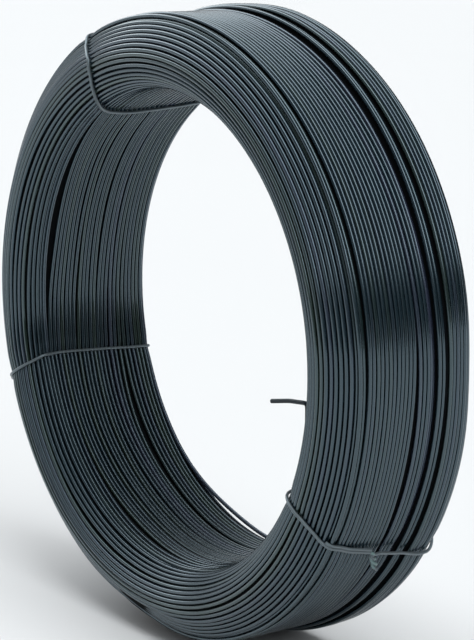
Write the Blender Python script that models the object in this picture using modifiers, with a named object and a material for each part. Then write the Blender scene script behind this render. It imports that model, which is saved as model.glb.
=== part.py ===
"""Coil of plastic-coated binding wire, standing on its edge and held by three tie wires.

Metres, +Z up. The coil's axis is along Y, with its front end towards -Y.
The origin is on the ground, under the middle of the coil.
"""

import math

import bmesh
import bpy
import numpy as np
from mathutils import Matrix, Vector
from mathutils.geometry import convex_hull_2d

# The wire and how it is laid
WIRE_DIAMETER = 0.0020
TURN_PITCH = 0.00219

# The coil's section: bore, outside and end faces. The back shoulder is the widest part
BORE_RADIUS = 0.1100
WINDING_DEPTH = 0.0365
BACK_SHOULDER_RADIUS = BORE_RADIUS + WINDING_DEPTH
FRONT_SHOULDER_STEP = 0.0020
FRONT_SHOULDER_RADIUS = BACK_SHOULDER_RADIUS - FRONT_SHOULDER_STEP
WIDTH_AT_BORE = 0.0728
WIDTH_AT_OUTSIDE = 0.0621

# How far the outside lies towards the back, because the front end slopes more than the back one
OUTSIDE_SHIFT = 0.0026

# How far each corner of the section is rounded
FRONT_BORE_ROUND = 0.0146
FRONT_OUTER_ROUND = 0.0040
BACK_OUTER_ROUND = 0.0080
BACK_BORE_ROUND = 0.0020

# The most of an end's height that its two rounded corners may take together
ROUNDS_SHARE_OF_WALL = 0.56

# The sunken band of even turns round the outside, and the stray turn behind it
BAND_SINK = 0.0030
BAND_RADIUS = BACK_SHOULDER_RADIUS - BAND_SINK
STRAY_TURN_SINK = 0.0012
STRAY_TURN_RADIUS = BACK_SHOULDER_RADIUS - STRAY_TURN_SINK
FRONT_SHOULDER_WIDTH = 0.0053
BACK_SHOULDER_WIDTH = 0.0162
BAND_GROOVE = 0.0027
SHOULDER_GROOVE = 0.0023

# The turn that is missing from the front of the bore, counted from there towards the end
MISSING_TURN = 1

# Where the bore's turns leave a wider gap, as shares of its length from the front, and how wide
BORE_GAPS = (0.055, 0.52)
BORE_GAP_WIDTH = 0.0009

# How deep the valleys between turns are, and how many pitches apart two turns leave a groove
VALLEY_DEPTH = 0.00085
GROOVE_DEPTH = 0.0021
GROOVE_PITCHES = 1.3

# The flat on a turn that bears on the ground
BEARING_FLAT = 0.0008

# The loose inner end of the wire, which points in from the front edge of the bore
INNER_END_ANGLE = math.radians(-5.9)
INNER_END_LENGTH = 0.0235
INNER_END_DROOP = 0.0052
INNER_END_BOW = 0.0006
INNER_END_ROOT = 0.0060
INNER_END_SET_BACK = 0.0070

# The tie wires: each goes once round the section, and its ends are twisted together
TIE_DIAMETER = 0.0014
TIE_CLEARANCE = 0.0003
TIE_TWIST_START = 0.0008
TIE_TWIST_LENGTH = 0.0130
TIE_TWIST_TURNS = 2.0
TIE_STRAND_GAP = 0.0001
TIE_POINT_SPACING = 0.0100

# Six stations of a tie round the section, in degrees from the outside towards the back: the
# outside's back edge, the bore's back and front, and the front face's bore edge, middle and outer edge
TIE_STATIONS = (62.0, 117.0, 215.0, 248.0, 268.0, 298.0)

# How far round the coil each tie is at those stations, in degrees, and where its ends are twisted
TIES = {
    "tie_wire_top": ((116.5, 120.0, 122.2, 114.4, 112.0, 115.0), 0.0038),
    "tie_wire_side": ((198.5, 197.4, 195.9, 197.5, 198.7, 199.5), 0.0018),
    "tie_wire_bottom": ((-35.0, -32.0, -26.0, -25.6, -26.6, -30.0), -0.0027),
}

# Facets, and the distance at which two points are one
STEPS_AROUND = 36
POINTS_PER_TWIST_TURN = 8
SHARP_EDGE = math.radians(60.0)
MERGE_DISTANCE = 0.000002

WIRE_RADIUS = WIRE_DIAMETER / 2
TIE_RADIUS = TIE_DIAMETER / 2
HALF_STEP = math.pi / STEPS_AROUND
AXIS_HEIGHT = BACK_SHOULDER_RADIUS * math.cos(HALF_STEP)


def clear_scene():
    for thing in list(bpy.data.objects):
        bpy.data.objects.remove(thing, do_unlink=True)


def new_collection(name):
    made = bpy.data.collections.new(name)
    bpy.context.scene.collection.children.link(made)
    return made


def plastic(name, colour, roughness):
    made = bpy.data.materials.new(name)
    made.use_nodes = True
    shader = made.node_tree.nodes["Principled BSDF"]
    shader.inputs["Base Color"].default_value = (*colour, 1.0)
    shader.inputs["Roughness"].default_value = roughness
    shader.inputs["Metallic"].default_value = 0.0
    made.diffuse_color = (*colour, 1.0)
    return made


def end_corners(side, shoulder_radius, bore_round, outer_round):
    """The circles that round one end's two corners: centre as (radius, y), and size."""
    wall = shoulder_radius - BORE_RADIUS
    share = min(1.0, ROUNDS_SHARE_OF_WALL * wall / (bore_round + outer_round))
    bore_size = bore_round * share
    outer_size = outer_round * share
    bore = Vector((BORE_RADIUS + bore_size, side * (WIDTH_AT_BORE / 2 - bore_size)))
    outer_place = OUTSIDE_SHIFT + side * (WIDTH_AT_OUTSIDE / 2 - outer_size)
    outer = Vector((shoulder_radius - outer_size, outer_place))
    return (bore, bore_size), (outer, outer_size)


def section_corners():
    """All four corner circles, in order round the section from the front of the bore."""
    front_bore, front_outer = end_corners(-1, FRONT_SHOULDER_RADIUS, FRONT_BORE_ROUND, FRONT_OUTER_ROUND)
    back_bore, back_outer = end_corners(1, BACK_SHOULDER_RADIUS, BACK_BORE_ROUND, BACK_OUTER_ROUND)
    return front_bore, front_outer, back_outer, back_bore


def side_normal(first, second):
    """The outward normal of the line that lies on two corner circles."""
    apart = second[0] - first[0]
    turn = math.acos((first[1] - second[1]) / apart.length)
    return Matrix.Rotation(-turn, 2) @ apart.normalized()


def straight_turns(start, end, normal):
    """Wire centres laid side by side from start to end, with their outward normal."""
    count = max(1, round((end - start).length / TURN_PITCH))
    return [(start.lerp(end, (i + 0.5) / count), normal) for i in range(count)]


def corner_turns(corner, normal_in, normal_out):
    """Wire centres laid round one corner, from one side's normal to the next one's."""
    centre, size = corner
    bend = size - WIRE_RADIUS
    sweep = normal_in.angle(normal_out)
    count = max(1, round(bend * sweep / TURN_PITCH))
    turns = []
    for i in range(count):
        normal = normal_in.slerp(normal_out, (i + 0.5) / count)
        turns.append((centre + normal * bend, normal))
    return turns


def outside_turns():
    """Wire centres across the outside, from the front shoulder to the back one."""
    outward = Vector((1.0, 0.0))
    front = OUTSIDE_SHIFT - WIDTH_AT_OUTSIDE / 2
    back = OUTSIDE_SHIFT + WIDTH_AT_OUTSIDE / 2
    shoulder_start = back - BACK_SHOULDER_WIDTH
    shoulder_end = back - BACK_OUTER_ROUND
    stray_place = shoulder_start - SHOULDER_GROOVE - WIRE_RADIUS
    band_start = front + FRONT_SHOULDER_WIDTH
    band_end = stray_place - WIRE_RADIUS - BAND_GROOVE
    rows = [
        (BAND_RADIUS, band_start, band_end),
        (STRAY_TURN_RADIUS, stray_place - WIRE_RADIUS, stray_place + WIRE_RADIUS),
        (BACK_SHOULDER_RADIUS, shoulder_start, shoulder_end),
    ]
    turns = []
    for radius, start, end in rows:
        centre_radius = radius - WIRE_RADIUS
        turns += straight_turns(Vector((centre_radius, start)), Vector((centre_radius, end)), outward)
    return turns


def bore_turns():
    """Wire centres along the bore, from the back to the front, with a wider gap here and there."""
    front_bore, _, _, back_bore = section_corners()
    inward = Vector((-1.0, 0.0))
    radius = BORE_RADIUS + WIRE_RADIUS
    back = Vector((radius, back_bore[0].y))
    front = Vector((radius, front_bore[0].y))
    half_gap = (back - front).normalized() * BORE_GAP_WIDTH / 2
    starts = [back]
    ends = []
    for share in sorted(BORE_GAPS, reverse=True):
        middle = front.lerp(back, share)
        ends.append(middle + half_gap)
        starts.append(middle - half_gap)
    ends.append(front)
    turns = []
    for start, end in zip(starts, ends):
        turns += straight_turns(start, end, inward)
    return turns


def coil_turns():
    """Every wire centre that shows, in order round the section from the front of the bore."""
    front_bore, front_outer, back_outer, back_bore = section_corners()
    front = side_normal(front_bore, front_outer)
    outward = Vector((1.0, 0.0))
    back = side_normal(back_outer, back_bore)
    inward = Vector((-1.0, 0.0))

    def on(corner, normal):
        return corner[0] + normal * (corner[1] - WIRE_RADIUS)

    bore_corner = corner_turns(front_bore, inward, front)
    del bore_corner[MISSING_TURN]
    return [
        *bore_corner,
        *straight_turns(on(front_bore, front), on(front_outer, front), front),
        *corner_turns(front_outer, front, outward),
        *outside_turns(),
        *corner_turns(back_outer, outward, back),
        *straight_turns(on(back_outer, back), on(back_bore, back), back),
        *corner_turns(back_bore, back, inward),
        *bore_turns(),
    ]


def coil_profile():
    """The section's closed outline: a crest on each turn and a valley between neighbours."""
    turns = coil_turns()
    outline = []
    for (centre, normal), (next_centre, next_normal) in zip(turns, turns[1:] + turns[:1]):
        along = (next_centre - centre).normalized()
        crest = centre + normal * WIRE_RADIUS
        bears = BACK_SHOULDER_RADIUS - crest.x < MERGE_DISTANCE
        if bears:
            outline += [crest - along * BEARING_FLAT / 2, crest + along * BEARING_FLAT / 2]
        else:
            outline.append(crest)
        in_groove = (next_centre - centre).length > TURN_PITCH * GROOVE_PITCHES
        depth = GROOVE_DEPTH if in_groove else VALLEY_DEPTH
        middle = centre.lerp(next_centre, 0.5)
        outline.append(middle + (normal + next_normal).normalized() * (WIRE_RADIUS - depth))
    return outline


def turned_coil(name, outline, collection, material):
    """The coil: its section swept once round the Y axis, with a flat facet underneath."""
    mesh = bpy.data.meshes.new(name)
    shape = bmesh.new()
    points = [shape.verts.new((p.x, p.y, 0.0)) for p in outline]
    for first, second in zip(points, points[1:] + points[:1]):
        shape.edges.new((first, second))
    shape.to_mesh(mesh)
    shape.free()
    coil = bpy.data.objects.new(name, mesh)
    collection.objects.link(coil)
    coil.data.materials.append(material)
    coil.location = (0.0, 0.0, AXIS_HEIGHT)
    coil.rotation_euler = (0.0, HALF_STEP, 0.0)
    screw = coil.modifiers.new("Turn", "SCREW")
    screw.axis = "Y"
    screw.angle = math.tau
    screw.steps = STEPS_AROUND
    screw.render_steps = STEPS_AROUND
    screw.use_merge_vertices = True
    screw.merge_threshold = MERGE_DISTANCE
    screw.use_smooth_shade = True
    return coil


def ring_point(radius, y, angle):
    """A point of the coil from its radius, its place along the axis and its angle from +X."""
    return Vector((radius * math.cos(angle), y, AXIS_HEIGHT + radius * math.sin(angle)))


def wire_mesh(name, points, diameter, collection, material):
    """A round wire along the points, as a closed mesh."""
    data = bpy.data.curves.new(name, "CURVE")
    data.dimensions = "3D"
    data.bevel_depth = diameter / 2
    data.bevel_resolution = 1
    data.use_fill_caps = True
    spline = data.splines.new("POLY")
    spline.points.add(len(points) - 1)
    for place, point in zip(spline.points, points):
        place.co = (*point, 1.0)
    curve = bpy.data.objects.new(name + "_path", data)
    collection.objects.link(curve)
    bpy.context.view_layer.update()
    graph = bpy.context.evaluated_depsgraph_get()
    mesh = bpy.data.meshes.new_from_object(curve.evaluated_get(graph))
    mesh.name = name
    shape = bmesh.new()
    shape.from_mesh(mesh)
    bmesh.ops.remove_doubles(shape, verts=shape.verts, dist=MERGE_DISTANCE)
    bmesh.ops.recalc_face_normals(shape, faces=shape.faces)
    shape.to_mesh(mesh)
    shape.free()
    wire = bpy.data.objects.new(name, mesh)
    wire.matrix_world = curve.matrix_world
    collection.objects.link(wire)
    bpy.data.objects.remove(curve, do_unlink=True)
    mesh.materials.clear()
    mesh.materials.append(material)
    mesh.shade_smooth()
    mesh.set_sharp_from_angle(angle=SHARP_EDGE)
    return wire


def inner_end_points():
    """The wire's inner end: rooted in the first turns, then straight in with a slight droop."""
    y = -WIDTH_AT_BORE / 2 + INNER_END_SET_BACK
    root = ring_point(BORE_RADIUS + INNER_END_ROOT, y, INNER_END_ANGLE)
    edge = ring_point(BORE_RADIUS, y, INNER_END_ANGLE)
    inward = (edge - root).normalized()
    tip = edge + inward * INNER_END_LENGTH - Vector((0.0, 0.0, INNER_END_DROOP))
    middle = edge.lerp(tip, 0.5) + Vector((0.0, 0.0, INNER_END_BOW))
    return [root, edge, middle, tip]


def join_to(whole, part):
    part.hide_render = True
    part.display_type = "WIRE"
    join = whole.modifiers.new("Join " + part.name, "BOOLEAN")
    join.operation = "UNION"
    join.solver = "EXACT"
    join.object = part


def tie_section():
    """The loop of a tie pulled tight round the section, as (radius, y)."""
    centres = [centre for centre, _ in coil_turns()]
    for centre in centres:
        if centre.x < middle_radius():
            centre.x *= math.cos(HALF_STEP)
    hull = [centres[i] for i in convex_hull_2d(centres)]
    off = WIRE_RADIUS + TIE_CLEARANCE + TIE_RADIUS
    loop = []
    for i, corner in enumerate(hull):
        along_in = (corner - hull[i - 1]).normalized()
        along_out = (hull[(i + 1) % len(hull)] - corner).normalized()
        normal_in = Vector((along_in.y, -along_in.x))
        normal_out = Vector((along_out.y, -along_out.x))
        loop.append(corner + (normal_in + normal_out) * off / (1.0 + normal_in.dot(normal_out)))
    return loop


def spaced(points):
    """The points, with more between them wherever two are far apart."""
    dense = points[:1]
    for before, after in zip(points, points[1:]):
        count = math.ceil((after - before).length / TIE_POINT_SPACING)
        dense += [before.lerp(after, (i + 1) / count) for i in range(count)]
    return dense


def middle_radius():
    return (BORE_RADIUS + BACK_SHOULDER_RADIUS) / 2


def round_section(point, middle_y):
    """How far a point is round the section, in degrees from the outside towards the back."""
    return math.degrees(math.atan2(point.y - middle_y, point.x - middle_radius())) % 360.0


def tie_points(angles, twist_place):
    """One tie: a twisted end, once round the section, and the other twisted end."""
    section = sorted(tie_section(), key=lambda point: round_section(point, twist_place))

    def angle_at(point):
        place = round_section(point, 0.0)
        return math.radians(np.interp(place, TIE_STATIONS, angles, period=360.0))

    loop = [ring_point(point.x, point.y, angle_at(point)) for point in spaced(section)]
    last, first = section[-1], section[0]
    over = last.lerp(first, (twist_place - last.y) / (first.y - last.y))
    strand = TIE_RADIUS + TIE_STRAND_GAP / 2
    radius = over.x + strand
    steps = round(TIE_TWIST_TURNS * POINTS_PER_TWIST_TURN)

    def twisted(side):
        points = []
        for i in range(steps + 1):
            share = i / steps
            roll = math.tau * TIE_TWIST_TURNS * share
            along = TIE_TWIST_START + TIE_TWIST_LENGTH * share
            y = twist_place + side * strand * math.cos(roll)
            height = radius + side * strand * math.sin(roll)
            points.append(ring_point(height, y, angle_at(over) - along / radius))
        return points

    return [*reversed(twisted(1.0)), *loop, *twisted(-1.0)]


def main():
    clear_scene()
    coil_parts = new_collection("binding_wire_coil")
    joined_parts = new_collection("joined_parts")

    coating = plastic("anthracite_coating", (0.030, 0.042, 0.048), 0.38)
    tie_coating = plastic("tie_wire_coating", (0.050, 0.066, 0.072), 0.42)

    coil = turned_coil("wire_coil", coil_profile(), coil_parts, coating)
    inner_end = wire_mesh("inner_end", inner_end_points(), WIRE_DIAMETER, joined_parts, coating)
    join_to(coil, inner_end)
    for name, (angles, twist_place) in TIES.items():
        wire_mesh(name, tie_points(angles, twist_place), TIE_DIAMETER, coil_parts, tie_coating)


main()
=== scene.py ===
"""Coil of coated binding wire: every visible turn, the loose ends and the three tie wires.

Metres, +Z up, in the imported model's frame: the coil's axis runs along Y at half its height,
its front end faces -Y and it stands on the ground.
"""

import math

import bpy
import numpy as np
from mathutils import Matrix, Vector
from mathutils.geometry import convex_hull_2d


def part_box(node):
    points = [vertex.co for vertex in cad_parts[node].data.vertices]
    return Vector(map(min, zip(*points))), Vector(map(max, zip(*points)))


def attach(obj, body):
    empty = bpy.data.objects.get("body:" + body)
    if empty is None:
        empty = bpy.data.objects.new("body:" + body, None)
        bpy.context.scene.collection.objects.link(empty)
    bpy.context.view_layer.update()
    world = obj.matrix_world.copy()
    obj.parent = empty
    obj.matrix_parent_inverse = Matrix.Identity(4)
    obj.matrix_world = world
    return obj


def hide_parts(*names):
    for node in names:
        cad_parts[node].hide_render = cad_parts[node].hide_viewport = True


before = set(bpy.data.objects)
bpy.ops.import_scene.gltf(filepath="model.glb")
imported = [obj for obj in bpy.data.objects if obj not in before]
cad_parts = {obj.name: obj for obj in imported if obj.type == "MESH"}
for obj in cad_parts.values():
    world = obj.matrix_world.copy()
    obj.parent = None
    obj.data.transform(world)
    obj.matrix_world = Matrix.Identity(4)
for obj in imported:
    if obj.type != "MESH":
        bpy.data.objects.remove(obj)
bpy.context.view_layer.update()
COIL_LOW, COIL_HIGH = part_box("wire_coil")

bl_info = {
    "name": "Coil of Binding Wire",
    "version": (1, 0, 0),
    "blender": (4, 5, 0),
    "location": "View3D > Sidebar > Wire Coil",
    "description": "Builds a coil of coated binding wire turn by turn, with its tie wires",
    "category": "Add Mesh",
}

AXIS_HEIGHT = (COIL_LOW.z + COIL_HIGH.z) / 2
SMOOTH_BELOW = math.radians(60.0)
PATH_STEP = 0.0005
PATH_OFFSET = 0.37
MERGE_DISTANCE = 0.00001
ANGLE_MARKS = 361

# Where the turns lie. On the front end a place is the distance along its outline from the bore,
# elsewhere it is y. A row is its first and last place and its number of turns, and a lone turn is
# its place and how deep it lies below the row's radius. An outline's ends are in y.
FRONT_OUTLINE_ENDS = (-0.0218, -0.0240)
FRONT_FIRST_TURN = (0.0024, 0.0009)
FRONT_ROW = (0.0044, 0.0379, 16)
FRONT_LAST_TURNS = ((0.0395, 0.0012), (0.0413, 0.0))
BAND_FIRST_TURN = (-0.0243, 0.0013)
BAND_ROW = (-0.0221, 0.0095, 16)
BAND_LAST_TURN = (0.0117, 0.0020)
STRAY_TURNS = ((0.0140, 0.0), (0.0161, 0.0005))
BACK_OUTLINE_ENDS = (0.0189, 0.0340)
BACK_TURNS = 24
BORE_ROWS = ((0.0317, 0.0088, 11), (0.0060, -0.0170, 11), (-0.0198, -0.0227, 2))

# How loosely each run is wound: the seed of its draws, how uneven its gaps are and how much its
# turns differ in height
LOOSENESS = {
    "front_turns": (11, 0.55, 0.00014),
    "outside_turns": (23, 0.7, 0.00005),
    "back_turns": (37, 0.9, 0.00012),
    "bore_turns": (41, 0.8, 0.00006),
}
# How close two turns come, in diameters, and how many waves their gaps and heights have
TOUCHING = 0.985
GAP_WAVES = 6
HEIGHT_WAVES = 5

# Turns that stand proud or lie deep at one place: the run, the first turn and the one past the
# last, both counted from the run's start, the angle and the reach round the coil in degrees, and
# how far they rise
BUMPS = (
    ("back_turns", 23, 24, 254.0, 18.0, 0.0027),
    ("back_turns", 0, 10, 42.0, 18.0, 0.0004),
    ("back_turns", 0, 10, -46.0, 18.0, 0.0004),
    ("back_turns", 0, 10, 0.0, 10.0, -0.0010),
    ("back_turns", 0, 10, 92.0, 10.0, -0.0010),
    ("back_turns", 0, 10, 180.0, 10.0, -0.0010),
    ("back_turns", 0, 10, 270.0, 10.0, -0.0010),
    ("front_turns", 12, 31, -100.0, 13.0, -0.0022),
)

# The hidden turns' ring, painted near black as shade: how deep its skin lies below the visible
# turns' middles, in diameters, and its number of steps round the axis
CORE_DEPTH = 0.55
CORE_STEPS = 120

# How far a turn's tint strays from the middle one, along the wire and from turn to turn
TINT_ALONG = 0.10
TINT_BY_TURN = 0.24
TINT_WAVES = 60
TINT_TURNS = 40.0

# The tint of wire that has none of its own, of the paler hook and end, and of the second strand
PLAIN_TINT = 0.5
HOOK_TINT = 0.95
END_TINT = 1.0
SECOND_STRAND_TINT = 0.6

# The coating's marks: waves a metre across the wire, across it again and along it
STREAK_SCALE = (900.0, 900.0, 18.0)
BLOTCH_SCALE = (160.0, 160.0, 60.0)
GRAIN_SCALE = (2600.0, 2600.0, 900.0)

# Each tie: stations round the section in degrees from the outside towards the back, how far round
# the coil the tie is at each of them, the y at which its ends are twisted together, and at which
# stations and how far its bends stand off the coil
TIES = {
    "tie_wire_top": {
        "stations": (20, 62, 119, 129, 162, 203, 226, 233, 241, 249, 258, 270, 286, 300, 340),
        "angles": (115.6, 117.0, 120.0, 120.9, 122.0, 122.6, 121.2, 119.2, 116.2, 113.6, 111.4,
                   110.9, 114.0, 115.0, 115.4),
        "twist_y": 0.0038,
        "stand_offs": ((305, 0.0008),),
    },
    "tie_wire_side": {
        "stations": (20, 62, 121, 146, 198, 224, 236, 243, 252, 257, 268, 290, 330),
        "angles": (199.0, 198.5, 197.4, 196.7, 196.1, 195.8, 196.0, 196.8, 197.6, 198.0, 198.7,
                   199.4, 199.4),
        "twist_y": 0.0018,
        "stand_offs": ((300, 0.0006),),
    },
    "tie_wire_bottom": {
        "stations": (38, 50, 57, 66, 80, 117, 160, 215, 235, 248, 260, 271, 281, 290, 302, 315,
                     347),
        "angles": (-33.7, -34.5, -34.4, -33.4, -33.0, -32.5, -30.4, -29.4, -28.3, -27.3, -26.9,
                   -27.2, -28.4, -29.6, -30.2, -31.4, -32.4),
        "twist_y": -0.0040,
        "stand_offs": ((243, 0.0005), (55, 0.0014)),
    },
}

# The tie whose own end lies beside it: how far from it, in diameters, how deep, and from how far
# outside the section's middle
TWO_STRAND_TIE = "tie_wire_bottom"
STRAND_SPACING = 0.98
STRAND_SINK = 0.0002
STRAND_START = 0.012

# How a tie's bends are rounded and how far round the section, in radians, one stands off
CORNER_CUTS = 3
STAND_OFF_REACH = 0.16
TIE_EASING = 3
END_EASING = 7

# How a tie's ends are twisted: how tightly, in how many steps a turn, where they start, how far
# they lean outwards, and how far they point down the turns and towards the back
TWIST_PACKING = 1.04
TWIST_STEPS = 14
TWIST_START = 0.0008
TWIST_LEAN = 0.0012
TWIST_SPREAD = 1.25
TWIST_DOWN = 0.87
TWIST_BACK = 0.49

# Edges of the lights in the world's directions, each the stretch over which a light fades
SOFTBOX_BOTTOM = (0.20, 0.42)
SOFTBOX_RIGHT = (0.86, 0.98)
SOFTBOX_FRONT = (-0.40, -0.26)
SOFTBOX_BACK = (0.20, 0.38)
BACKDROP_EDGE = (0.1, 0.7)
FRONT_LIGHT_EDGE = (0.3, 0.7)
LOW_LIGHT_TOP = (0.3, 0.6)


class WireSettings(bpy.types.PropertyGroup):
    """The coated wire itself"""

    diameter: bpy.props.FloatProperty(
        name="Wire Diameter", description="Over the coating", default=0.00194, unit="LENGTH")
    points_per_turn: bpy.props.IntProperty(
        name="Points per Turn", description="How many points a turn's path has", default=216)
    coating: bpy.props.FloatVectorProperty(
        name="Coating", description="The coating's main colour", size=3, subtype="COLOR",
        default=(0.004, 0.011, 0.016))
    cool_coating: bpy.props.FloatVectorProperty(
        name="Cool Coating", description="The violet grey that some turns lean to", size=3,
        subtype="COLOR", default=(0.020, 0.023, 0.042))
    green_coating: bpy.props.FloatVectorProperty(
        name="Green Coating", description="The green grey that other turns lean to", size=3,
        subtype="COLOR", default=(0.013, 0.022, 0.015))
    roughness: bpy.props.FloatProperty(
        name="Roughness", description="Of the satin coating", default=0.17)
    gloss: bpy.props.FloatProperty(
        name="Gloss", description="Refractive index of the coating", default=1.92)
    sheen: bpy.props.FloatVectorProperty(
        name="Sheen", description="The tint of its shine", size=3, subtype="COLOR",
        default=(0.68, 0.88, 1.0))
    # Painted shade: the hidden turns are the same wire, coloured near black here for the shade
    # between the turns
    gap_shade: bpy.props.FloatVectorProperty(
        name="Gap Shade", description="What shows between the turns", size=3, subtype="COLOR",
        default=(0.002, 0.003, 0.004))


class SectionSettings(bpy.types.PropertyGroup):
    """Where the turns lie in the coil's section"""

    bore_radius: bpy.props.FloatProperty(
        name="Bore Radius", description="To the inside of the bore's turns",
        default=0.1100, unit="LENGTH")
    band_radius: bpy.props.FloatProperty(
        name="Band Radius", description="Over the even turns of the outside",
        default=0.1435, unit="LENGTH")
    front_shoulder_radius: bpy.props.FloatProperty(
        name="Front Shoulder Radius", description="Over the front end's widest turn",
        default=0.1437, unit="LENGTH")
    back_shoulder_radius: bpy.props.FloatProperty(
        name="Back Shoulder Radius", description="Over the back end's widest turns",
        default=0.1466, unit="LENGTH")
    stray_radius: bpy.props.FloatProperty(
        name="Stray Turn Radius", description="Over the lone turn behind the band",
        default=0.1452, unit="LENGTH")
    front_at_bore: bpy.props.FloatProperty(
        name="Front at Bore",
        description="How far forward the front end's bore edge would reach if it were sharp",
        default=0.0473, unit="LENGTH")
    front_at_outside: bpy.props.FloatProperty(
        name="Front at Outside",
        description="How far forward its outer edge would reach if it were sharp",
        default=0.0261, unit="LENGTH")
    back_at_bore: bpy.props.FloatProperty(
        name="Back at Bore", description="How far back the back end's bore edge reaches",
        default=0.0354, unit="LENGTH")
    back_at_outside: bpy.props.FloatProperty(
        name="Back at Outside",
        description="How far back its outer edge would reach if it were sharp",
        default=0.0319, unit="LENGTH")
    front_bore_round: bpy.props.FloatProperty(
        name="Front Bore Round", description="Radius of the front end's bore edge",
        default=0.0136, unit="LENGTH")
    front_outer_round: bpy.props.FloatProperty(
        name="Front Outer Round", description="Radius of the front end's outer edge",
        default=0.0030, unit="LENGTH")
    back_outer_round: bpy.props.FloatProperty(
        name="Back Outer Round", description="Radius of the back end's outer edge",
        default=0.0070, unit="LENGTH")
    back_bore_round: bpy.props.FloatProperty(
        name="Back Bore Round", description="Radius of the back end's bore edge",
        default=0.0010, unit="LENGTH")
    crossover: bpy.props.FloatProperty(
        name="Crossover", description="Where each turn steps over to its next place",
        default=math.radians(200.0), subtype="ANGLE")
    crossover_width: bpy.props.FloatProperty(
        name="Crossover Width", description="How far round the coil that step takes",
        default=math.radians(70.0), subtype="ANGLE")


class InnerEndSettings(bpy.types.PropertyGroup):
    """The wire's loose inner end"""

    along_axis: bpy.props.FloatProperty(
        name="Place Along Axis", description="Its y, which is the same all along it",
        default=-0.0294, unit="LENGTH")
    root_depth: bpy.props.FloatProperty(
        name="Root Depth", description="From the bore's turns out to where it starts",
        default=0.0023, unit="LENGTH")
    root_angle: bpy.props.FloatProperty(
        name="Root Angle", description="Round the coil, where it starts",
        default=math.radians(-10.0), subtype="ANGLE")
    bend_depth: bpy.props.FloatProperty(
        name="Bend Depth", description="From the bore's turns out to its bend",
        default=0.0013, unit="LENGTH")
    bend_angle: bpy.props.FloatProperty(
        name="Bend Angle", description="Round the coil, where it bends out of the bore",
        default=math.radians(-5.8), subtype="ANGLE")
    tip_radius: bpy.props.FloatProperty(
        name="Tip Radius", description="From the axis to its tip",
        default=0.0874, unit="LENGTH")
    tip_angle: bpy.props.FloatProperty(
        name="Tip Angle", description="Round the coil, at its tip",
        default=math.radians(-10.0), subtype="ANGLE")
    arch: bpy.props.FloatProperty(
        name="Arch", description="How far its middle rises above a straight line",
        default=0.0006, unit="LENGTH")
    shade: bpy.props.FloatProperty(
        name="Shade", description="How dark it is against the other turns", default=0.6)
    gloss: bpy.props.FloatProperty(
        name="Gloss", description="Refractive index of its coating", default=1.3)


class TieSettings(bpy.types.PropertyGroup):
    """The thin wires that hold the coil together"""

    diameter: bpy.props.FloatProperty(
        name="Tie Diameter", description="Over the coating", default=0.0014, unit="LENGTH")
    pinch: bpy.props.FloatProperty(
        name="Pinch", description="How deep a tie presses the turns in",
        default=0.0006, unit="LENGTH")
    pinch_width: bpy.props.FloatProperty(
        name="Pinch Width", description="How far round the coil a tie's pinch reaches",
        default=math.radians(2.2), subtype="ANGLE")
    coating: bpy.props.FloatVectorProperty(
        name="Tie Coating", description="The tie wires' colour", size=3, subtype="COLOR",
        default=(0.085, 0.098, 0.104))
    pale_end_coating: bpy.props.FloatVectorProperty(
        name="Pale End Coating", description="The paler green of the twisted ends", size=3,
        subtype="COLOR", default=(0.13, 0.20, 0.19))
    roughness: bpy.props.FloatProperty(
        name="Tie Roughness", description="Of the ties' coating", default=0.35)
    twist_length: bpy.props.FloatProperty(
        name="Twist Length", description="Of a tie's two ends, twisted together",
        default=0.0095, unit="LENGTH")
    twist_turns: bpy.props.FloatProperty(
        name="Twist Turns", description="How often the ends go round one another", default=1.3)


class StageSettings(bpy.types.PropertyGroup):
    """Floor, light and camera"""

    floor_radius: bpy.props.FloatProperty(
        name="Floor Radius", description="Of the round floor", default=9.0, unit="LENGTH")
    floor_colour: bpy.props.FloatVectorProperty(
        name="Floor Colour", description="Pale, almost white", size=3, subtype="COLOR",
        default=(0.74, 0.74, 0.74))
    softbox_strength: bpy.props.FloatProperty(
        name="Softbox", description="Strength of the light from above", default=3.4)
    backdrop_strength: bpy.props.FloatProperty(
        name="Backdrop Light", description="Strength of the light from the left", default=0.6)
    front_strength: bpy.props.FloatProperty(
        name="Front Light", description="Strength of the light from the front", default=0.25)
    room_strength: bpy.props.FloatProperty(
        name="Room Light", description="Strength of the light from all sides", default=0.04)
    light_colour: bpy.props.FloatVectorProperty(
        name="Light Colour", description="A cool white", size=3, subtype="COLOR",
        default=(0.95, 0.98, 1.0))
    camera_target: bpy.props.FloatVectorProperty(
        name="Camera Target", description="The point that the camera looks at", size=3,
        subtype="XYZ", unit="LENGTH", default=(0.01864, 0.00122, AXIS_HEIGHT + 0.00491))
    camera_azimuth: bpy.props.FloatProperty(
        name="Camera Azimuth", description="Round the coil, from its front",
        default=math.radians(54.07), subtype="ANGLE")
    camera_elevation: bpy.props.FloatProperty(
        name="Camera Elevation", description="Above the horizontal",
        default=math.radians(11.70), subtype="ANGLE")
    camera_distance: bpy.props.FloatProperty(
        name="Camera Distance", description="From the point it looks at",
        default=1.0031, unit="LENGTH")
    camera_lens: bpy.props.FloatProperty(
        name="Camera Lens", description="Focal length in millimetres", default=124.17)
    camera_frame: bpy.props.FloatProperty(
        name="Camera Frame", description="Height of the camera's frame in millimetres",
        default=36.0)


class CoilSettings(bpy.types.PropertyGroup):
    """All that the coil is built from"""

    wire: bpy.props.PointerProperty(type=WireSettings)
    section: bpy.props.PointerProperty(type=SectionSettings)
    inner_end: bpy.props.PointerProperty(type=InnerEndSettings)
    tie: bpy.props.PointerProperty(type=TieSettings)
    stage: bpy.props.PointerProperty(type=StageSettings)


def settings():
    return bpy.context.scene.wire_coil_settings


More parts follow.
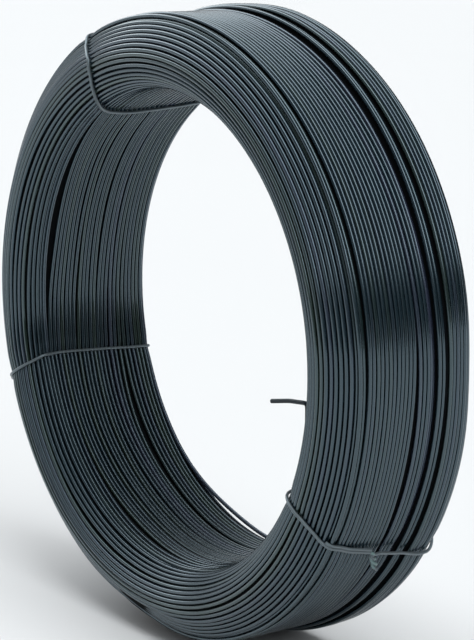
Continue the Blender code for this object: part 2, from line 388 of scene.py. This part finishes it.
class Flow:
    """A number, colour or vector that runs through a material's nodes"""

    def __init__(self, shader, socket):
        self.shader = shader
        self.socket = socket

    def __add__(self, other):
        return self.shader.maths("ADD", self, other)

    def __radd__(self, other):
        return self.shader.maths("ADD", other, self)

    def __sub__(self, other):
        return self.shader.maths("SUBTRACT", self, other)

    def __rsub__(self, other):
        return self.shader.maths("SUBTRACT", other, self)

    def __mul__(self, other):
        return self.shader.maths("MULTIPLY", self, other)

    def __rmul__(self, other):
        return self.shader.maths("MULTIPLY", other, self)

class Shader:
    """One material's or world's nodes, wired from Python expressions"""

    def __init__(self, owner):
        owner.use_nodes = True
        self.tree = owner.node_tree
        self.tree.nodes.clear()

    def node(self, kind, options=None, inputs=None, output=0):
        """Adds a node: its settings first, then the values or links of its sockets."""
        made = self.tree.nodes.new(kind)
        for name, value in (options or {}).items():
            setattr(made, name, value)
        for key, value in (inputs or {}).items():
            socket = made.inputs[key]
            if isinstance(value, Flow):
                self.tree.links.new(value.socket, socket)
            else:
                socket.default_value = value
        return Flow(self, made.outputs[output]) if made.outputs else None

    def maths(self, operation, first, second):
        return self.node("ShaderNodeMath", {"operation": operation}, {0: first, 1: second})

    def mix(self, share, first, second):
        """A colour between two others."""
        return self.node(
            "ShaderNodeMix", {"data_type": "RGBA"}, {0: share, 6: first, 7: second}, 2)

    def smooth_step(self, value, low, high):
        """0 below low, 1 above high, and a smooth rise between them."""
        return self.node(
            "ShaderNodeMapRange", {"interpolation_type": "SMOOTHSTEP"},
            {"Value": value, "From Min": low, "From Max": high})

    def scaled(self, place, scale):
        """A vector stretched along each axis."""
        return self.node(
            "ShaderNodeVectorMath", {"operation": "MULTIPLY"}, {0: place, 1: scale})

    def noise(self, place, detail=2.0, roughness=0.5):
        return self.node(
            "ShaderNodeTexNoise", {}, {"Vector": place, "Scale": 1.0, "Detail": detail,
                                       "Roughness": roughness})


def opaque(colour):
    return (*colour, 1.0)


def coating_material(name, colour, cool, green, roughness, gloss):
    """Satin plastic coating, with streaks along the wire and a tint that changes by the turn."""
    made = bpy.data.materials.new(name)
    shader = Shader(made)
    place = shader.node("ShaderNodeAttribute", {"attribute_name": "wire_place"}, output=1)
    tint = shader.node("ShaderNodeAttribute", {"attribute_name": "wire_tint"}, output=2)
    streaks = shader.noise(shader.scaled(place, STREAK_SCALE), 3.0, 0.6)
    blotches = shader.noise(shader.scaled(place, BLOTCH_SCALE), 2.0)
    grain = shader.noise(shader.scaled(place, GRAIN_SCALE), 2.0, 0.7)
    cool_share = shader.smooth_step(tint, 0.55, 0.95)
    green_share = shader.smooth_step(tint, 0.45, 0.05)
    cooler = shader.mix(cool_share, opaque(colour), opaque(cool))
    base = shader.mix(green_share, cooler, opaque(green))
    worn_streaks = shader.smooth_step(streaks, 0.50, 0.80) * 0.35
    worn_blotches = shader.smooth_step(blotches, 0.5, 0.8) * 0.25
    pale = tuple(min(1.0, value * 1.4 + 0.003) for value in colour)
    coloured = shader.mix(worn_streaks + worn_blotches, base, opaque(pale))
    rough = roughness + (streaks - 0.5) * 0.12 + (blotches - 0.5) * 0.10 + (tint - 0.5) * 0.12
    height = streaks * 0.6 + grain * 0.4
    bump = shader.node(
        "ShaderNodeBump", {}, {"Strength": 0.12, "Distance": 0.00006, "Height": height})
    surface = shader.node(
        "ShaderNodeBsdfPrincipled", {},
        {"Base Color": coloured, "Roughness": rough, "IOR": gloss,
         "Specular Tint": opaque(settings().wire.sheen), "Normal": bump})
    shader.node("ShaderNodeOutputMaterial", {}, {"Surface": surface})
    return made


def gap_shade_material(name):
    """Painted shade: almost black, for the shade that lies between the turns."""
    made = bpy.data.materials.new(name)
    shader = Shader(made)
    surface = shader.node(
        "ShaderNodeBsdfPrincipled", {},
        {"Base Color": opaque(settings().wire.gap_shade), "Roughness": 0.9, "IOR": 1.2})
    shader.node("ShaderNodeOutputMaterial", {}, {"Surface": surface})
    return made


def smooth_noise(seed, rows, angles, waves, fall=0.8):
    """One smooth random curve round the coil for each row, of about unit size."""
    draw = np.random.default_rng(seed)
    total = np.zeros((rows, len(angles)))
    power = 0.0
    for wave in range(1, waves + 1):
        size = wave ** -fall
        power += size * size / 2
        phase = draw.uniform(0.0, math.tau, rows)[:, None]
        weight = draw.normal(0.0, 1.0, rows)[:, None]
        total += size * weight * np.cos(wave * angles[None, :] + phase)
    return total / math.sqrt(power)


def distances_along(path):
    """How far along a path each of its points lies."""
    return np.concatenate([[0.0], np.cumsum(np.linalg.norm(np.diff(path, axis=0), axis=1))])


def rounded_path(corners, rounds, spacing=0.0001):
    """Points along a path through the corners, each inner one rounded by an arc."""
    points = [np.array(corners[0])]
    for before, corner, after, size in zip(corners, corners[1:], corners[2:], rounds):
        corner = np.array(corner)
        back = np.array(before) - corner
        ahead = np.array(after) - corner
        back /= np.linalg.norm(back)
        ahead /= np.linalg.norm(ahead)
        half = math.acos(np.clip(back @ ahead, -1.0, 1.0)) / 2
        middle = (back + ahead) / np.linalg.norm(back + ahead)
        centre = corner + middle * size / math.sin(half)
        start = corner + back * size / math.tan(half) - centre
        end = corner + ahead * size / math.tan(half) - centre
        sweep = math.pi - 2 * half
        for share in np.linspace(0.0, 1.0, 24):
            turn = math.sin((1 - share) * sweep) * start + math.sin(share * sweep) * end
            points.append(centre + turn / math.sin(sweep))
    points.append(np.array(corners[-1]))
    points = np.array(points)
    lengths = distances_along(points)
    steps = np.arange(0.0, lengths[-1], spacing)
    return np.stack([np.interp(steps, lengths, points[:, axis]) for axis in (0, 1)], 1)


def lane_at(path, distance, depth):
    """The place of one turn at a distance along a path, sunk below its neighbours."""
    lengths = distances_along(path)
    spot = min(int(np.searchsorted(lengths, distance)), len(path) - 2)
    along = (path[spot + 1] - path[spot]) / np.linalg.norm(path[spot + 1] - path[spot])
    place = [float(np.interp(distance, lengths, path[:, axis])) for axis in (0, 1)]
    return np.array(place) - np.array([along[1], -along[0]]) * depth


def lanes_between(path, first, last, count):
    """Places for turns at even distances along a stretch of a path, both ends included."""
    return np.array([lane_at(path, place, 0.0) for place in np.linspace(first, last, count)])


def level_row(radius, first, last, count):
    """Places for a row of turns at one radius, from one y to another."""
    return np.linspace((radius, first), (radius, last), count)


def sunk_turn(radius, y, depth):
    """The place of one turn below a radius."""
    return radius - depth, y


def hump(angle, width):
    """1 where an angle is zero, falling smoothly to nothing on both sides."""
    away = (angle + math.pi) % math.tau - math.pi
    return np.exp(-((away / width) ** 2))


class Section:
    """The places of all visible turns round the section, in winding order, as (radius, y)"""

    def __init__(self):
        wire_radius = settings().wire.diameter / 2
        size = settings().section
        bore = size.bore_radius + wire_radius
        band = size.band_radius - wire_radius
        shoulder = size.front_shoulder_radius - wire_radius
        back_shoulder = size.back_shoulder_radius - wire_radius
        front = rounded_path(
            [(bore, FRONT_OUTLINE_ENDS[0]), (bore, -size.front_at_bore),
             (shoulder, -size.front_at_outside), (shoulder, FRONT_OUTLINE_ENDS[1])],
            [size.front_bore_round, size.front_outer_round])
        back = rounded_path(
            [(back_shoulder, BACK_OUTLINE_ENDS[0]), (back_shoulder, size.back_at_outside),
             (bore, size.back_at_bore), (bore, BACK_OUTLINE_ENDS[1])],
            [size.back_outer_round, size.back_bore_round])
        runs = {
            "front_turns": np.concatenate([
                [lane_at(front, *FRONT_FIRST_TURN)],
                lanes_between(front, *FRONT_ROW),
                [lane_at(front, *turn) for turn in FRONT_LAST_TURNS],
            ]),
            "outside_turns": np.concatenate([
                [sunk_turn(band, *BAND_FIRST_TURN)],
                level_row(band, *BAND_ROW),
                [sunk_turn(band, *BAND_LAST_TURN)],
                [sunk_turn(size.stray_radius - wire_radius, *turn) for turn in STRAY_TURNS],
            ]),
            "back_turns": lanes_between(back, 0.0, distances_along(back)[-1], BACK_TURNS),
            "bore_turns": np.concatenate([level_row(bore, *row) for row in BORE_ROWS]),
        }
        self.span = {}
        self.places = np.zeros((0, 2))
        for name, places in runs.items():
            self.span[name] = (len(self.places), len(self.places) + len(places))
            self.places = np.concatenate([self.places, places])
        self.count = len(self.places)
        along = np.roll(self.places, -1, axis=0) - np.roll(self.places, 1, axis=0)
        self.along = along / np.linalg.norm(along, axis=1)[:, None]
        self.outward = np.stack([self.along[:, 1], -self.along[:, 0]], 1)
        self.angles = np.linspace(0.0, math.tau, ANGLE_MARKS)
        self.shift = np.zeros((self.count, len(self.angles)))
        self.lift = np.zeros((self.count, len(self.angles)))

    def loosen(self, name, seed, unevenness, lift):
        """Gives a run its own uneven gaps between turns and small differences in height."""
        low, high = self.span[name]
        places = self.places[low:high]
        gaps = np.linalg.norm(np.diff(places, axis=0), axis=1)
        spare = np.maximum(gaps - settings().wire.diameter * TOUCHING, 0.0)
        weights = np.exp(unevenness * smooth_noise(seed, len(gaps), self.angles, GAP_WAVES))
        weights *= spare[:, None]
        widened = weights * spare.sum() / weights.sum(0)
        moved = np.cumsum(widened - spare[:, None], axis=0)
        self.shift[low + 1:high] += moved
        heights = smooth_noise(seed + 1, high - low, self.angles, HEIGHT_WAVES)
        self.lift[low:high] += lift * heights

    def bump(self, name, first, last, angle, width, rise):
        """Lifts some turns of a run round an angle, or presses them in."""
        low = self.span[name][0]
        swell = hump(self.angles - math.radians(angle), math.radians(width))
        self.lift[low + first:low + last] += rise * swell

    def pinch(self, lane_angles, depth, width):
        """Presses the turns in where a tie crosses them."""
        self.lift -= depth * hump(self.angles[None, :] - lane_angles[:, None], width)

    def on_lane(self, lanes, angles):
        """The (radius, y) of each given turn at each given angle."""
        lanes = lanes % self.count
        spots = (angles % math.tau) / math.tau * (len(self.angles) - 1)
        low = np.floor(spots).astype(int) % (len(self.angles) - 1)
        share = spots - np.floor(spots)
        shift = self.shift[lanes, low] * (1 - share) + self.shift[lanes, low + 1] * share
        lift = self.lift[lanes, low] * (1 - share) + self.lift[lanes, low + 1] * share
        moved = self.places[lanes] + self.along[lanes] * shift[:, None]
        return moved + self.outward[lanes] * lift[:, None]

    def wire_path(self, first, last):
        """The wire's middle line through a run of turns, each stepping over to the next."""
        size = settings().section
        count = (last - first) * settings().wire.points_per_turn
        turns = np.linspace(first, last, count + 1)
        angles = size.crossover + math.tau * turns
        nearest = np.floor(turns + 0.5).astype(int)
        share = np.clip((turns - nearest) * math.tau / size.crossover_width + 0.5, 0.0, 1.0)
        share = (share * share * (3 - 2 * share))[:, None]
        before = self.on_lane(nearest - 1, angles)
        place = before * (1 - share) + self.on_lane(nearest, angles) * share
        return ring_points(place[:, 0], place[:, 1], angles), turns


def ring_points(radius, y, angle):
    """Points of the coil from radius, place along the axis and angle from +X."""
    radius, y, angle = np.broadcast_arrays(radius, y, angle)
    return np.stack([radius * np.cos(angle), y, AXIS_HEIGHT + radius * np.sin(angle)], -1)


def deselect_all():
    if bpy.context.mode != "OBJECT":
        bpy.ops.object.mode_set(mode="OBJECT")
    bpy.ops.object.select_all(action="DESELECT")


def make_active(thing):
    deselect_all()
    thing.select_set(True)
    bpy.context.view_layer.objects.active = thing


def drawn_wire(name, paths, diameter, material, tints=None, sides=12):
    """One mesh of round wire along each path, with its place and tint along the wire."""
    data = bpy.data.curves.new(name, "CURVE")
    data.dimensions = "3D"
    data.bevel_depth = diameter / 2
    data.bevel_resolution = sides // 2 - 2
    data.use_fill_caps = True
    data.twist_mode = "MINIMUM"
    for path in paths:
        spline = data.splines.new("POLY")
        spline.points.add(len(path) - 1)
        rows = np.concatenate([path, np.ones((len(path), 1))], 1)
        spline.points.foreach_set("co", rows.ravel())
        spline.use_smooth = True
    wire = bpy.data.objects.new(name, data)
    bpy.context.scene.collection.objects.link(wire)
    make_active(wire)
    bpy.ops.object.convert(target="MESH")
    wire = bpy.context.view_layer.objects.active
    bpy.ops.object.shade_smooth_by_angle(angle=SMOOTH_BELOW)
    mark_wire(wire.data, paths, diameter, tints, sides)
    wire.data.materials.clear()
    wire.data.materials.append(material)
    return wire


def mark_wire(mesh, paths, diameter, tints, sides):
    """Stores each vertex's place on the wire, round and along it, and the wire's tint there."""
    places, marks = [], []
    roll = np.arange(sides) / sides * math.tau
    for number, path in enumerate(paths):
        along = distances_along(path) + number * PATH_OFFSET
        grid = np.zeros((len(path), sides, 3))
        grid[:, :, 0] = np.cos(roll) * diameter / 2
        grid[:, :, 1] = np.sin(roll) * diameter / 2
        grid[:, :, 2] = along[:, None]
        tint = np.full(len(path), PLAIN_TINT) if tints is None else tints[number]
        with_caps = np.concatenate([grid, grid[:1], grid[-1:]])
        places.append(with_caps.reshape(-1, 3))
        marks.append(np.repeat(np.concatenate([tint, tint[:1], tint[-1:]]), sides))
    places = np.concatenate(places)
    marks = np.concatenate(marks)
    if len(places) != len(mesh.vertices):
        raise RuntimeError(f"{mesh.name} has {len(mesh.vertices)} vertices, not {len(places)}")
    mesh.attributes.new("wire_place", "FLOAT_VECTOR", "POINT").data.foreach_set(
        "vector", places.astype(np.float32).ravel())
    mesh.attributes.new("wire_tint", "FLOAT", "POINT").data.foreach_set(
        "value", marks.astype(np.float32))


def finish_piece(piece, slot, *nodes):
    """Hangs a finished piece under the root body and hides the model's parts that it replaces."""
    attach(piece, "root")
    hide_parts(*nodes)


class TieLoop:
    """The path of one tie round the section, pulled tight over the turns"""

    def __init__(self, section, name):
        wire = settings().wire
        tie = settings().tie
        course = TIES[name]
        self.stations = np.radians(course["stations"])
        self.angles = np.radians(course["angles"])
        self.twist_y = course["twist_y"]
        centres = [Vector(place) for place in section.places]
        hull = np.array([centres[i] for i in convex_hull_2d(centres)])
        if polygon_area(hull) < 0:
            hull = hull[::-1]
        self.middle = (section.places[:, 0].min() + section.places[:, 0].max()) / 2
        off = wire.diameter / 2 + tie.diameter / 2 - tie.pinch
        loop = []
        for before, corner, after in zip(np.roll(hull, 1, 0), hull, np.roll(hull, -1, 0)):
            normal_in = side_normal(before, corner)
            normal_out = side_normal(corner, after)
            loop.append(corner + (normal_in + normal_out) * off / (1.0 + normal_in @ normal_out))
        for _ in range(CORNER_CUTS):
            loop = cut_corners(np.array(loop))
        from_middle = loop - np.array([self.middle, 0.0])
        spin = np.arctan2(from_middle[:, 1], from_middle[:, 0])
        from_middle /= np.linalg.norm(from_middle, axis=1)[:, None]
        for station, rise in course["stand_offs"]:
            swell = hump(spin - math.radians(station), STAND_OFF_REACH)
            loop += from_middle * (rise * swell)[:, None]
        spin = np.arctan2(loop[:, 1] - self.twist_y, loop[:, 0] - self.middle) % math.tau
        self.loop = loop[np.argsort(spin)]

    def angle_at(self, place):
        """How far round the coil the tie is at a point of the section."""
        spin = np.arctan2(place[..., 1], place[..., 0] - self.middle) % math.tau
        return np.interp(spin, self.stations, self.angles, period=math.tau)


def polygon_area(points):
    ahead = np.roll(points, -1, axis=0)
    return float(np.sum(points[:, 0] * ahead[:, 1] - points[:, 1] * ahead[:, 0]) / 2)


def side_normal(start, end):
    along = (end - start) / np.linalg.norm(end - start)
    return np.array([along[1], -along[0]])


def cut_corners(points):
    """A closed outline with each corner cut once, which rounds it a little."""
    ahead = np.roll(points, -1, axis=0)
    pairs = np.stack([points * 0.75 + ahead * 0.25, points * 0.25 + ahead * 0.75], 1)
    return pairs.reshape(-1, 2)


def resampled(points):
    """The same open path with points at even distances."""
    lengths = distances_along(points)
    steps = np.linspace(0.0, lengths[-1], max(2, round(lengths[-1] / PATH_STEP) + 1))
    return np.stack([np.interp(steps, lengths, points[:, axis]) for axis in range(3)], 1)


def softened(points, reach):
    """The same open path with its bends eased over some points, and its ends kept."""
    weights = np.exp(-(np.linspace(-1.6, 1.6, 2 * reach + 1) ** 2))
    weights /= weights.sum()
    first = 2 * points[0] - points[reach:0:-1]
    last = 2 * points[-1] - points[-2:-reach - 2:-1]
    padded = np.concatenate([first, points, last])
    return np.stack([np.convolve(padded[:, axis], weights, "valid") for axis in range(3)], 1)


class COIL_OT_inner_turns(bpy.types.Operator):
    """Adds the ring that stands for the turns under the visible ones, painted near black as the
    shade between the turns
    """

    bl_idname = "mesh.coil_inner_turns"
    bl_label = "Hidden Turns"

    def execute(self, context):
        section = Section()
        inner = section.places - section.outward * settings().wire.diameter * CORE_DEPTH
        deselect_all()
        bpy.ops.mesh.primitive_circle_add(
            vertices=len(inner), radius=0.02, fill_type="NOTHING", location=(0.0, 0.0, 0.0))
        ring = context.view_layer.objects.active
        ring.name = "inner_turns"
        ring.data.name = "inner_turns"
        places = ring_points(inner[:, 0], inner[:, 1], 0.0)
        ring.data.vertices.foreach_set("co", places.ravel())
        bpy.ops.object.mode_set(mode="EDIT")
        bpy.ops.mesh.select_all(action="SELECT")
        bpy.ops.mesh.spin(
            steps=CORE_STEPS, angle=math.tau, center=(0.0, 0.0, AXIS_HEIGHT), axis=(0.0, 1.0, 0.0))
        bpy.ops.mesh.select_all(action="SELECT")
        bpy.ops.mesh.remove_doubles(threshold=MERGE_DISTANCE)
        bpy.ops.mesh.normals_make_consistent(inside=False)
        bpy.ops.object.mode_set(mode="OBJECT")
        bpy.ops.object.shade_smooth_by_angle(angle=SMOOTH_BELOW)
        # Its near-black material is painted shade between the turns
        ring.data.materials.append(gap_shade_material("gap_shade_wire"))
        finish_piece(ring, "wire_coating", "wire_coil")
        return {"FINISHED"}


def wound_section():
    """The section with each run of turns loosened and pinched by the ties."""
    section = Section()
    tie = settings().tie
    for name, looseness in LOOSENESS.items():
        section.loosen(name, *looseness)
    for bump in BUMPS:
        section.bump(*bump)
    for name in TIES:
        loop = TieLoop(section, name)
        section.pinch(loop.angle_at(section.places), tie.pinch, tie.pinch_width)
    return section


def coil_coating():
    wire = settings().wire
    found = bpy.data.materials.get("wound_wire")
    return found or coating_material(
        "wound_wire", wire.coating, wire.cool_coating, wire.green_coating, wire.roughness,
        wire.gloss)


def add_turns(name, seed):
    """One run of the coil's turns, as one long wire."""
    section = wound_section()
    path, turns = section.wire_path(*section.span[name])
    along = smooth_noise(seed, 1, turns * math.tau / TINT_TURNS, TINT_WAVES, 0.2)[0]
    draws = np.random.default_rng(seed + 5).normal(0.0, 1.0, section.count + 2)
    by_turn = np.interp(turns, np.arange(section.count + 2), draws)
    tint = 0.5 + TINT_ALONG * along + TINT_BY_TURN * by_turn
    wire = drawn_wire(name, [path], settings().wire.diameter, coil_coating(), [tint])
    finish_piece(wire, "wire_coating", "wire_coil")


class COIL_OT_front_turns(bpy.types.Operator):
    """Winds the turns that show on the front end face"""

    bl_idname = "mesh.coil_front_turns"
    bl_label = "Front Turns"

    def execute(self, context):
        add_turns("front_turns", 101)
        return {"FINISHED"}


class COIL_OT_outside_turns(bpy.types.Operator):
    """Winds the band of even turns round the outside, its grooves and the stray turn"""

    bl_idname = "mesh.coil_outside_turns"
    bl_label = "Outside Turns"

    def execute(self, context):
        add_turns("outside_turns", 102)
        return {"FINISHED"}


class COIL_OT_back_turns(bpy.types.Operator):
    """Winds the back shoulder and the back end face"""

    bl_idname = "mesh.coil_back_turns"
    bl_label = "Back Turns"

    def execute(self, context):
        add_turns("back_turns", 103)
        return {"FINISHED"}


class COIL_OT_bore_turns(bpy.types.Operator):
    """Winds the turns that line the bore"""

    bl_idname = "mesh.coil_bore_turns"
    bl_label = "Bore Turns"

    def execute(self, context):
        add_turns("bore_turns", 104)
        return {"FINISHED"}


class COIL_OT_inner_end(bpy.types.Operator):
    """Adds the wire's loose inner end, which bends out of the bore towards the axis"""

    bl_idname = "mesh.coil_inner_end"
    bl_label = "Inner End"

    def execute(self, context):
        bore = settings().section.bore_radius
        wire = settings().wire
        end = settings().inner_end
        root = ring_points(bore + end.root_depth, end.along_axis, end.root_angle)
        bend = ring_points(bore + end.bend_depth, end.along_axis, end.bend_angle)
        tip = ring_points(end.tip_radius, end.along_axis, end.tip_angle)
        middle = (bend + tip) / 2 + np.array([0.0, 0.0, end.arch])
        path = softened(resampled(np.array([root, bend, middle, tip])), END_EASING)
        dark = tuple(value * end.shade for value in wire.coating)
        coating = coating_material("end_of_wire", dark, dark, dark, wire.roughness, end.gloss)
        piece = drawn_wire("inner_end", [path], wire.diameter, coating)
        finish_piece(piece, "wire_coating", "wire_coil")
        return {"FINISHED"}


def twisted_pair(base, down, across, outward, strand):
    """Two strands wound round one another along a slightly bent line."""
    tie = settings().tie
    pair = [[], []]
    steps = round(tie.twist_turns * TWIST_STEPS)
    for i in range(steps + 1):
        share = i / steps
        middle = base + down * tie.twist_length * share + outward * TWIST_LEAN * share ** 2
        roll = math.tau * tie.twist_turns * share
        for side, points in zip((1.0, -1.0), pair):
            swing = across * math.cos(roll) + outward * math.sin(roll)
            points.append(middle + swing * side * strand)
    return [np.array(points) for points in pair]


class COIL_OT_tie_wires(bpy.types.Operator):
    """Adds the three tie wires, each round the section with its ends twisted together"""

    bl_idname = "mesh.coil_tie_wires"
    bl_label = "Tie Wires"

    def execute(self, context):
        section = Section()
        tie = settings().tie
        coating = coating_material(
            "tying_wire", tie.coating, tie.pale_end_coating, tie.coating, tie.roughness,
            settings().wire.gloss)
        strand = tie.diameter / 2 * TWIST_PACKING
        for name in TIES:
            loop = TieLoop(section, name)
            ring = ring_points(loop.loop[:, 0], loop.loop[:, 1], loop.angle_at(loop.loop))
            over = (loop.loop[0] + loop.loop[-1]) / 2
            angle = float(loop.angle_at(np.array([over[0], loop.twist_y])))
            base = ring_points(over[0] + strand, loop.twist_y, angle)
            outward = np.array([math.cos(angle), 0.0, math.sin(angle)])
            down = np.array(
                [math.sin(angle) * TWIST_DOWN, TWIST_BACK, -math.cos(angle) * TWIST_DOWN])
            across = np.cross(down, outward)
            first, second = twisted_pair(
                base + down * TWIST_START, down, across, outward, strand * TWIST_SPREAD)
            path = softened(resampled(np.concatenate([first[::-1], ring, second])), TIE_EASING)
            paths = [path]
            tints = [np.full(len(path), PLAIN_TINT)]
            if name == TWO_STRAND_TIE:
                pale_points = round(distances_along(first)[-1] / PATH_STEP)
                tints[0][pale_points // 3:pale_points] = HOOK_TINT
                tints[0][-pale_points:] = END_TINT
                paths.append(self.second_strand(loop, tie.diameter))
                tints.append(np.full(len(paths[1]), SECOND_STRAND_TINT))
            wire = drawn_wire(name, paths, tie.diameter, coating, tints, sides=10)
            finish_piece(wire, "tie_coating", name)
        return {"FINISHED"}

    def second_strand(self, loop, diameter):
        """The tie's own end, which lies beside it from the front edge to the twist."""
        outer = loop.loop[:, 0] > loop.middle + STRAND_START
        beside = loop.loop[outer & (loop.loop[:, 1] < loop.twist_y)]
        beside = beside[np.argsort(beside[:, 1])]
        angle = loop.angle_at(beside) + diameter * STRAND_SPACING / beside[:, 0]
        path = ring_points(beside[:, 0] - STRAND_SINK, beside[:, 1], angle)
        return softened(resampled(path), TIE_EASING)


class COIL_OT_stage(bpy.types.Operator):
    """Sets the pale floor, the soft light and the camera"""

    bl_idname = "scene.coil_stage"
    bl_label = "Floor, Light and Camera"

    def execute(self, context):
        stage = settings().stage
        self.add_floor(context, stage)
        self.add_light(context, stage)
        self.add_camera(context, stage)
        context.scene.view_settings.view_transform = "Standard"
        return {"FINISHED"}

    def add_floor(self, context, stage):
        deselect_all()
        bpy.ops.mesh.primitive_circle_add(
            vertices=128, radius=stage.floor_radius, fill_type="NGON", location=(0.0, 0.0, 0.0))
        floor = context.view_layer.objects.active
        floor.name = "floor"
        material = bpy.data.materials.new("floor_paper")
        shader = Shader(material)
        place = shader.node("ShaderNodeTexCoord", output=3)
        mottle = shader.noise(shader.scaled(place, (3.0, 3.0, 3.0)), 3.0)
        pale = opaque(tuple(value * 0.985 for value in stage.floor_colour))
        colour = shader.mix(mottle, opaque(stage.floor_colour), pale)
        surface = shader.node(
            "ShaderNodeBsdfPrincipled", {}, {"Base Color": colour, "Roughness": 0.9})
        shader.node("ShaderNodeOutputMaterial", {}, {"Surface": surface})
        floor.data.materials.append(material)

    def add_light(self, context, stage):
        world = bpy.data.worlds.new("studio")
        context.scene.world = world
        shader = Shader(world)
        direction = shader.node("ShaderNodeTexCoord", output=0)
        side = shader.node("ShaderNodeSeparateXYZ", {}, {0: direction}, 0)
        depth = shader.node("ShaderNodeSeparateXYZ", {}, {0: direction}, 1)
        height = shader.node("ShaderNodeSeparateXYZ", {}, {0: direction}, 2)
        softbox = shader.smooth_step(height, *SOFTBOX_BOTTOM)
        softbox *= 1.0 - shader.smooth_step(side, *SOFTBOX_RIGHT)
        softbox *= shader.smooth_step(depth, *SOFTBOX_FRONT)
        softbox *= 1.0 - shader.smooth_step(depth, *SOFTBOX_BACK)
        low = 1.0 - shader.smooth_step(height, *LOW_LIGHT_TOP)
        backdrop = shader.smooth_step(side * -1.0, *BACKDROP_EDGE) * low
        front = shader.smooth_step(depth * -1.0, *FRONT_LIGHT_EDGE) * low
        strength = stage.room_strength + softbox * stage.softbox_strength
        strength += backdrop * stage.backdrop_strength + front * stage.front_strength
        light = shader.node(
            "ShaderNodeBackground", {}, {"Color": opaque(stage.light_colour), "Strength": strength})
        shader.node("ShaderNodeOutputWorld", {}, {"Surface": light})

    def add_camera(self, context, stage):
        azimuth, elevation = stage.camera_azimuth, stage.camera_elevation
        back = Vector((
            math.sin(azimuth) * math.cos(elevation),
            -math.cos(azimuth) * math.cos(elevation),
            math.sin(elevation)))
        data = bpy.data.cameras.new("camera")
        data.sensor_fit = "VERTICAL"
        data.sensor_height = stage.camera_frame
        data.lens = stage.camera_lens
        camera = bpy.data.objects.new("camera", data)
        context.scene.collection.objects.link(camera)
        camera.location = Vector(stage.camera_target) + back * stage.camera_distance
        camera.rotation_euler = back.to_track_quat("Z", "Y").to_euler()
        context.scene.camera = camera


class COIL_PT_panel(bpy.types.Panel):
    """Lists the coil's pieces in the 3D view's sidebar"""

    bl_idname = "COIL_PT_panel"
    bl_label = "Wire Coil"
    bl_space_type = "VIEW_3D"
    bl_region_type = "UI"
    bl_category = "Wire Coil"

    def draw(self, context):
        for group in ("wire", "section", "inner_end", "tie", "stage"):
            box = self.layout.box()
            values = getattr(settings(), group)
            for name in values.bl_rna.properties.keys():
                if name not in ("rna_type", "name"):
                    box.prop(values, name)
        for operator in OPERATORS:
            self.layout.operator(operator.bl_idname)


OPERATORS = (
    COIL_OT_stage,
    COIL_OT_inner_turns,
    COIL_OT_front_turns,
    COIL_OT_outside_turns,
    COIL_OT_back_turns,
    COIL_OT_bore_turns,
    COIL_OT_inner_end,
    COIL_OT_tie_wires,
)
CLASSES = (
    WireSettings, SectionSettings, InnerEndSettings, TieSettings, StageSettings, CoilSettings,
    *OPERATORS, COIL_PT_panel,
)


def register():
    for item in CLASSES:
        bpy.utils.register_class(item)
    bpy.types.Scene.wire_coil_settings = bpy.props.PointerProperty(type=CoilSettings)


def unregister():
    del bpy.types.Scene.wire_coil_settings
    for item in reversed(CLASSES):
        bpy.utils.unregister_class(item)


def main():
    register()
    bpy.ops.scene.coil_stage()
    bpy.ops.mesh.coil_inner_turns()
    bpy.ops.mesh.coil_front_turns()
    bpy.ops.mesh.coil_outside_turns()
    bpy.ops.mesh.coil_back_turns()
    bpy.ops.mesh.coil_bore_turns()
    bpy.ops.mesh.coil_inner_end()
    bpy.ops.mesh.coil_tie_wires()


if __name__ == "__main__":
    main()
